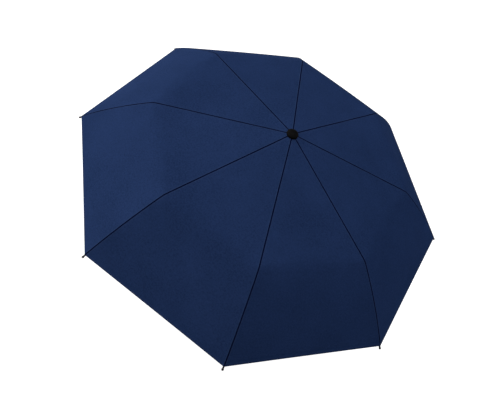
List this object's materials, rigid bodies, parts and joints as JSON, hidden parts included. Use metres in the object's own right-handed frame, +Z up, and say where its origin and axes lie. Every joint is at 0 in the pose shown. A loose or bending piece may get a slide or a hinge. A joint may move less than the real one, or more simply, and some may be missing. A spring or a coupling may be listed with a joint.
{
  "type": "folding umbrella",
  "caption": "Compact folding umbrella, open: eight-gore canopy on jointed ribs, three-section tube shaft, runner, round cap and straight grip.",
  "frame": {"origin": "centre of the grip's cylindrical stretch, on the shaft axis", "axes": "+Z up the shaft from the grip to the cap; +X along the first rib"},
  "size_m": [0.9698, 0.9698, 0.5823],
  "materials": {
    "cloth": "matte",
    "black_plastic": "satin",
    "grip": "matte",
    "button": "gloss",
    "tube": "polished",
    "rib_steel": "satin",
    "rib_wire": "satin"
  },
  "bodies": {
    "handle": {"handle_grip": "grip", "end_plug": "grip", "lower_tube": "tube"},
    "mid_shaft": {"mid_tube": "tube", "mid_ferrule": "black_plastic"},
    "top_shaft": {"top_tube": "tube", "top_ferrule": "black_plastic", "crown": "black_plastic", "crown_wire": "rib_steel", "cap": "black_plastic", "canopy": "cloth"},
    "runner": {"runner": "black_plastic", "runner_wire": "rib_steel"},
    "button": {"runner_button": "button"},
    "top_rib_1": {"top_rib_1": "rib_steel"},
    "stretcher_1": {"stretcher_1": "rib_steel"},
    "drive_link_1": {"drive_link_1": "rib_steel"},
    "middle_rib_1": {"middle_rib_1": "rib_steel"},
    "outer_rib_1": {"outer_rib_1": "rib_wire"},
    "top_rib_2": {"top_rib_2": "rib_steel"},
    "stretcher_2": {"stretcher_2": "rib_steel"},
    "drive_link_2": {"drive_link_2": "rib_steel"},
    "middle_rib_2": {"middle_rib_2": "rib_steel"},
    "outer_rib_2": {"outer_rib_2": "rib_wire"},
    "top_rib_3": {"top_rib_3": "rib_steel"},
    "stretcher_3": {"stretcher_3": "rib_steel"},
    "drive_link_3": {"drive_link_3": "rib_steel"},
    "middle_rib_3": {"middle_rib_3": "rib_steel"},
    "outer_rib_3": {"outer_rib_3": "rib_wire"},
    "top_rib_4": {"top_rib_4": "rib_steel"},
    "stretcher_4": {"stretcher_4": "rib_steel"},
    "drive_link_4": {"drive_link_4": "rib_steel"},
    "middle_rib_4": {"middle_rib_4": "rib_steel"},
    "outer_rib_4": {"outer_rib_4": "rib_wire"},
    "top_rib_5": {"top_rib_5": "rib_steel"},
    "stretcher_5": {"stretcher_5": "rib_steel"},
    "drive_link_5": {"drive_link_5": "rib_steel"},
    "middle_rib_5": {"middle_rib_5": "rib_steel"},
    "outer_rib_5": {"outer_rib_5": "rib_wire"},
    "top_rib_6": {"top_rib_6": "rib_steel"},
    "stretcher_6": {"stretcher_6": "rib_steel"},
    "drive_link_6": {"drive_link_6": "rib_steel"},
    "middle_rib_6": {"middle_rib_6": "rib_steel"},
    "outer_rib_6": {"outer_rib_6": "rib_wire"},
    "top_rib_7": {"top_rib_7": "rib_steel"},
    "stretcher_7": {"stretcher_7": "rib_steel"},
    "drive_link_7": {"drive_link_7": "rib_steel"},
    "middle_rib_7": {"middle_rib_7": "rib_steel"},
    "outer_rib_7": {"outer_rib_7": "rib_wire"},
    "top_rib_8": {"top_rib_8": "rib_steel"},
    "stretcher_8": {"stretcher_8": "rib_steel"},
    "drive_link_8": {"drive_link_8": "rib_steel"},
    "middle_rib_8": {"middle_rib_8": "rib_steel"},
    "outer_rib_8": {"outer_rib_8": "rib_wire"}
  },
  "joints": [
    {"name": "mid_tube_slide", "type": "slide", "parent": "handle", "child": "mid_shaft", "axis": [0, 0, 1], "range_m": [-0.13, 0]},
    {"name": "top_tube_slide", "type": "slide", "parent": "mid_shaft", "child": "top_shaft", "axis": [0, 0, 1], "range_m": [-0.13, 0]},
    {"name": "canopy_fold", "type": "hinge", "parent": "top_shaft", "child": "top_rib_1", "pos_m": [0.0095, 0, 0.526], "axis": [0, 1, 0], "range_deg": [0, 75.9], "deforming": ["canopy"]},
    {"name": "stretcher_1_fold", "type": "hinge", "parent": "top_rib_1", "child": "stretcher_1", "pos_m": [0.09534, 0, 0.50665], "axis": [0, 1, 0], "range_deg": [-152.3, 0.5]},
    {"name": "drive_link_1_fold", "type": "hinge", "parent": "stretcher_1", "child": "drive_link_1", "pos_m": [0.0879, 0, 0.50567], "axis": [0, 1, 0], "range_deg": [-0.5, 153]},
    {"name": "middle_rib_1_fold", "type": "hinge", "parent": "top_rib_1", "child": "middle_rib_1", "pos_m": [0.1621, 0, 0.49882], "axis": [0, 1, 0], "range_deg": [-176.5, 0.5]},
    {"name": "outer_rib_1_fold", "type": "hinge", "parent": "middle_rib_1", "child": "outer_rib_1", "pos_m": [0.31312, 0, 0.46846], "axis": [0, 1, 0], "range_deg": [-0.5, 151]},
    {"name": "top_rib_2_fold", "type": "hinge", "parent": "top_shaft", "child": "top_rib_2", "pos_m": [0.00672, 0.00672, 0.526], "axis": [-0.7071, 0.7071, 0], "range_deg": [0, 76.4]},
    {"name": "stretcher_2_fold", "type": "hinge", "parent": "top_rib_2", "child": "stretcher_2", "pos_m": [0.06741, 0.06741, 0.50665], "axis": [-0.7071, 0.7071, 0], "range_deg": [-152.3, 0.5]},
    {"name": "drive_link_2_fold", "type": "hinge", "parent": "stretcher_2", "child": "drive_link_2", "pos_m": [0.06216, 0.06216, 0.50567], "axis": [-0.7071, 0.7071, 0], "range_deg": [-0.5, 153]},
    {"name": "middle_rib_2_fold", "type": "hinge", "parent": "top_rib_2", "child": "middle_rib_2", "pos_m": [0.11462, 0.11462, 0.49882], "axis": [-0.7071, 0.7071, 0], "range_deg": [-176.5, 0.5]},
    {"name": "outer_rib_2_fold", "type": "hinge", "parent": "middle_rib_2", "child": "outer_rib_2", "pos_m": [0.22141, 0.22141, 0.46846], "axis": [-0.7071, 0.7071, 0], "range_deg": [-0.5, 151]},
    {"name": "top_rib_3_fold", "type": "hinge", "parent": "top_shaft", "child": "top_rib_3", "pos_m": [0, 0.0095, 0.526], "axis": [-1, 0, 0], "range_deg": [0, 76.4]},
    {"name": "stretcher_3_fold", "type": "hinge", "parent": "top_rib_3", "child": "stretcher_3", "pos_m": [0, 0.09534, 0.50665], "axis": [-1, 0, 0], "range_deg": [-152.3, 0.5]},
    {"name": "drive_link_3_fold", "type": "hinge", "parent": "stretcher_3", "child": "drive_link_3", "pos_m": [0, 0.0879, 0.50567], "axis": [-1, 0, 0], "range_deg": [-0.5, 153]},
    {"name": "middle_rib_3_fold", "type": "hinge", "parent": "top_rib_3", "child": "middle_rib_3", "pos_m": [0, 0.1621, 0.49882], "axis": [-1, 0, 0], "range_deg": [-176.5, 0.5]},
    {"name": "outer_rib_3_fold", "type": "hinge", "parent": "middle_rib_3", "child": "outer_rib_3", "pos_m": [0, 0.31312, 0.46846], "axis": [-1, 0, 0], "range_deg": [-0.5, 151]},
    {"name": "top_rib_4_fold", "type": "hinge", "parent": "top_shaft", "child": "top_rib_4", "pos_m": [-0.00672, 0.00672, 0.526], "axis": [-0.7071, -0.7071, 0], "range_deg": [0, 76.4]},
    {"name": "stretcher_4_fold", "type": "hinge", "parent": "top_rib_4", "child": "stretcher_4", "pos_m": [-0.06741, 0.06741, 0.50665], "axis": [-0.7071, -0.7071, 0], "range_deg": [-152.3, 0.5]},
    {"name": "drive_link_4_fold", "type": "hinge", "parent": "stretcher_4", "child": "drive_link_4", "pos_m": [-0.06216, 0.06216, 0.50567], "axis": [-0.7071, -0.7071, 0], "range_deg": [-0.5, 153]},
    {"name": "middle_rib_4_fold", "type": "hinge", "parent": "top_rib_4", "child": "middle_rib_4", "pos_m": [-0.11462, 0.11462, 0.49882], "axis": [-0.7071, -0.7071, 0], "range_deg": [-176.5, 0.5]},
    {"name": "outer_rib_4_fold", "type": "hinge", "parent": "middle_rib_4", "child": "outer_rib_4", "pos_m": [-0.22141, 0.22141, 0.46846], "axis": [-0.7071, -0.7071, 0], "range_deg": [-0.5, 151]},
    {"name": "top_rib_5_fold", "type": "hinge", "parent": "top_shaft", "child": "top_rib_5", "pos_m": [-0.0095, 0, 0.526], "axis": [0, -1, 0], "range_deg": [0, 76.4]},
    {"name": "stretcher_5_fold", "type": "hinge", "parent": "top_rib_5", "child": "stretcher_5", "pos_m": [-0.09534, 0, 0.50665], "axis": [0, -1, 0], "range_deg": [-152.3, 0.5]},
    {"name": "drive_link_5_fold", "type": "hinge", "parent": "stretcher_5", "child": "drive_link_5", "pos_m": [-0.0879, 0, 0.50567], "axis": [0, -1, 0], "range_deg": [-0.5, 153]},
    {"name": "middle_rib_5_fold", "type": "hinge", "parent": "top_rib_5", "child": "middle_rib_5", "pos_m": [-0.1621, 0, 0.49882], "axis": [0, -1, 0], "range_deg": [-176.5, 0.5]},
    {"name": "outer_rib_5_fold", "type": "hinge", "parent": "middle_rib_5", "child": "outer_rib_5", "pos_m": [-0.31312, 0, 0.46846], "axis": [0, -1, 0], "range_deg": [-0.5, 151]},
    {"name": "top_rib_6_fold", "type": "hinge", "parent": "top_shaft", "child": "top_rib_6", "pos_m": [-0.00672, -0.00672, 0.526], "axis": [0.7071, -0.7071, 0], "range_deg": [0, 76.4]},
    {"name": "stretcher_6_fold", "type": "hinge", "parent": "top_rib_6", "child": "stretcher_6", "pos_m": [-0.06741, -0.06741, 0.50665], "axis": [0.7071, -0.7071, 0], "range_deg": [-152.3, 0.5]},
    {"name": "drive_link_6_fold", "type": "hinge", "parent": "stretcher_6", "child": "drive_link_6", "pos_m": [-0.06216, -0.06216, 0.50567], "axis": [0.7071, -0.7071, 0], "range_deg": [-0.5, 153]},
    {"name": "middle_rib_6_fold", "type": "hinge", "parent": "top_rib_6", "child": "middle_rib_6", "pos_m": [-0.11462, -0.11462, 0.49882], "axis": [0.7071, -0.7071, 0], "range_deg": [-176.5, 0.5]},
    {"name": "outer_rib_6_fold", "type": "hinge", "parent": "middle_rib_6", "child": "outer_rib_6", "pos_m": [-0.22141, -0.22141, 0.46846], "axis": [0.7071, -0.7071, 0], "range_deg": [-0.5, 151]},
    {"name": "top_rib_7_fold", "type": "hinge", "parent": "top_shaft", "child": "top_rib_7", "pos_m": [0, -0.0095, 0.526], "axis": [1, 0, 0], "range_deg": [0, 76.4]},
    {"name": "stretcher_7_fold", "type": "hinge", "parent": "top_rib_7", "child": "stretcher_7", "pos_m": [0, -0.09534, 0.50665], "axis": [1, 0, 0], "range_deg": [-152.3, 0.5]},
    {"name": "drive_link_7_fold", "type": "hinge", "parent": "stretcher_7", "child": "drive_link_7", "pos_m": [0, -0.0879, 0.50567], "axis": [1, 0, 0], "range_deg": [-0.5, 153]},
    {"name": "middle_rib_7_fold", "type": "hinge", "parent": "top_rib_7", "child": "middle_rib_7", "pos_m": [0, -0.1621, 0.49882], "axis": [1, 0, 0], "range_deg": [-176.5, 0.5]},
    {"name": "outer_rib_7_fold", "type": "hinge", "parent": "middle_rib_7", "child": "outer_rib_7", "pos_m": [0, -0.31312, 0.46846], "axis": [1, 0, 0], "range_deg": [-0.5, 151]},
    {"name": "top_rib_8_fold", "type": "hinge", "parent": "top_shaft", "child": "top_rib_8", "pos_m": [0.00672, -0.00672, 0.526], "axis": [0.7071, 0.7071, 0], "range_deg": [0, 76.4]},
    {"name": "stretcher_8_fold", "type": "hinge", "parent": "top_rib_8", "child": "stretcher_8", "pos_m": [0.06741, -0.06741, 0.50665], "axis": [0.7071, 0.7071, 0], "range_deg": [-152.3, 0.5]},
    {"name": "drive_link_8_fold", "type": "hinge", "parent": "stretcher_8", "child": "drive_link_8", "pos_m": [0.06216, -0.06216, 0.50567], "axis": [0.7071, 0.7071, 0], "range_deg": [-0.5, 153]},
    {"name": "middle_rib_8_fold", "type": "hinge", "parent": "top_rib_8", "child": "middle_rib_8", "pos_m": [0.11462, -0.11462, 0.49882], "axis": [0.7071, 0.7071, 0], "range_deg": [-176.5, 0.5]},
    {"name": "outer_rib_8_fold", "type": "hinge", "parent": "middle_rib_8", "child": "outer_rib_8", "pos_m": [0.22141, -0.22141, 0.46846], "axis": [0.7071, 0.7071, 0], "range_deg": [-0.5, 151]},
    {"name": "runner_pivot", "type": "hinge", "parent": "stretcher_1", "child": "runner", "pos_m": [0.0095, 0, 0.48729], "axis": [0, 1, 0], "range_deg": [-0.5, 76.4]},
    {"name": "button_press", "type": "slide", "parent": "runner", "child": "button", "axis": [-0.9239, -0.3827, 0], "range_m": [0, 0.0016], "stiffness_N_per_m": 600, "springref_m": -0.001}
  ],
  "couplings": [
    {"joint": "stretcher_1_fold", "follows": "canopy_fold", "ratio": -2},
    {"joint": "drive_link_1_fold", "follows": "canopy_fold", "ratio": 2.0066},
    {"joint": "middle_rib_1_fold", "follows": "canopy_fold", "ratio": -2.3188},
    {"joint": "outer_rib_1_fold", "follows": "canopy_fold", "ratio": 1.9829},
    {"joint": "top_rib_2_fold", "follows": "canopy_fold", "ratio": 1},
    {"joint": "stretcher_2_fold", "follows": "canopy_fold", "ratio": -2},
    {"joint": "drive_link_2_fold", "follows": "canopy_fold", "ratio": 2.0066},
    {"joint": "middle_rib_2_fold", "follows": "canopy_fold", "ratio": -2.3188},
    {"joint": "outer_rib_2_fold", "follows": "canopy_fold", "ratio": 1.9829},
    {"joint": "top_rib_3_fold", "follows": "canopy_fold", "ratio": 1},
    {"joint": "stretcher_3_fold", "follows": "canopy_fold", "ratio": -2},
    {"joint": "drive_link_3_fold", "follows": "canopy_fold", "ratio": 2.0066},
    {"joint": "middle_rib_3_fold", "follows": "canopy_fold", "ratio": -2.3188},
    {"joint": "outer_rib_3_fold", "follows": "canopy_fold", "ratio": 1.9829},
    {"joint": "top_rib_4_fold", "follows": "canopy_fold", "ratio": 1},
    {"joint": "stretcher_4_fold", "follows": "canopy_fold", "ratio": -2},
    {"joint": "drive_link_4_fold", "follows": "canopy_fold", "ratio": 2.0066},
    {"joint": "middle_rib_4_fold", "follows": "canopy_fold", "ratio": -2.3188},
    {"joint": "outer_rib_4_fold", "follows": "canopy_fold", "ratio": 1.9829},
    {"joint": "top_rib_5_fold", "follows": "canopy_fold", "ratio": 1},
    {"joint": "stretcher_5_fold", "follows": "canopy_fold", "ratio": -2},
    {"joint": "drive_link_5_fold", "follows": "canopy_fold", "ratio": 2.0066},
    {"joint": "middle_rib_5_fold", "follows": "canopy_fold", "ratio": -2.3188},
    {"joint": "outer_rib_5_fold", "follows": "canopy_fold", "ratio": 1.9829},
    {"joint": "top_rib_6_fold", "follows": "canopy_fold", "ratio": 1},
    {"joint": "stretcher_6_fold", "follows": "canopy_fold", "ratio": -2},
    {"joint": "drive_link_6_fold", "follows": "canopy_fold", "ratio": 2.0066},
    {"joint": "middle_rib_6_fold", "follows": "canopy_fold", "ratio": -2.3188},
    {"joint": "outer_rib_6_fold", "follows": "canopy_fold", "ratio": 1.9829},
    {"joint": "top_rib_7_fold", "follows": "canopy_fold", "ratio": 1},
    {"joint": "stretcher_7_fold", "follows": "canopy_fold", "ratio": -2},
    {"joint": "drive_link_7_fold", "follows": "canopy_fold", "ratio": 2.0066},
    {"joint": "middle_rib_7_fold", "follows": "canopy_fold", "ratio": -2.3188},
    {"joint": "outer_rib_7_fold", "follows": "canopy_fold", "ratio": 1.9829},
    {"joint": "top_rib_8_fold", "follows": "canopy_fold", "ratio": 1},
    {"joint": "stretcher_8_fold", "follows": "canopy_fold", "ratio": -2},
    {"joint": "drive_link_8_fold", "follows": "canopy_fold", "ratio": 2.0066},
    {"joint": "middle_rib_8_fold", "follows": "canopy_fold", "ratio": -2.3188},
    {"joint": "outer_rib_8_fold", "follows": "canopy_fold", "ratio": 1.9829},
    {"joint": "runner_pivot", "follows": "canopy_fold", "ratio": 1}
  ]
}
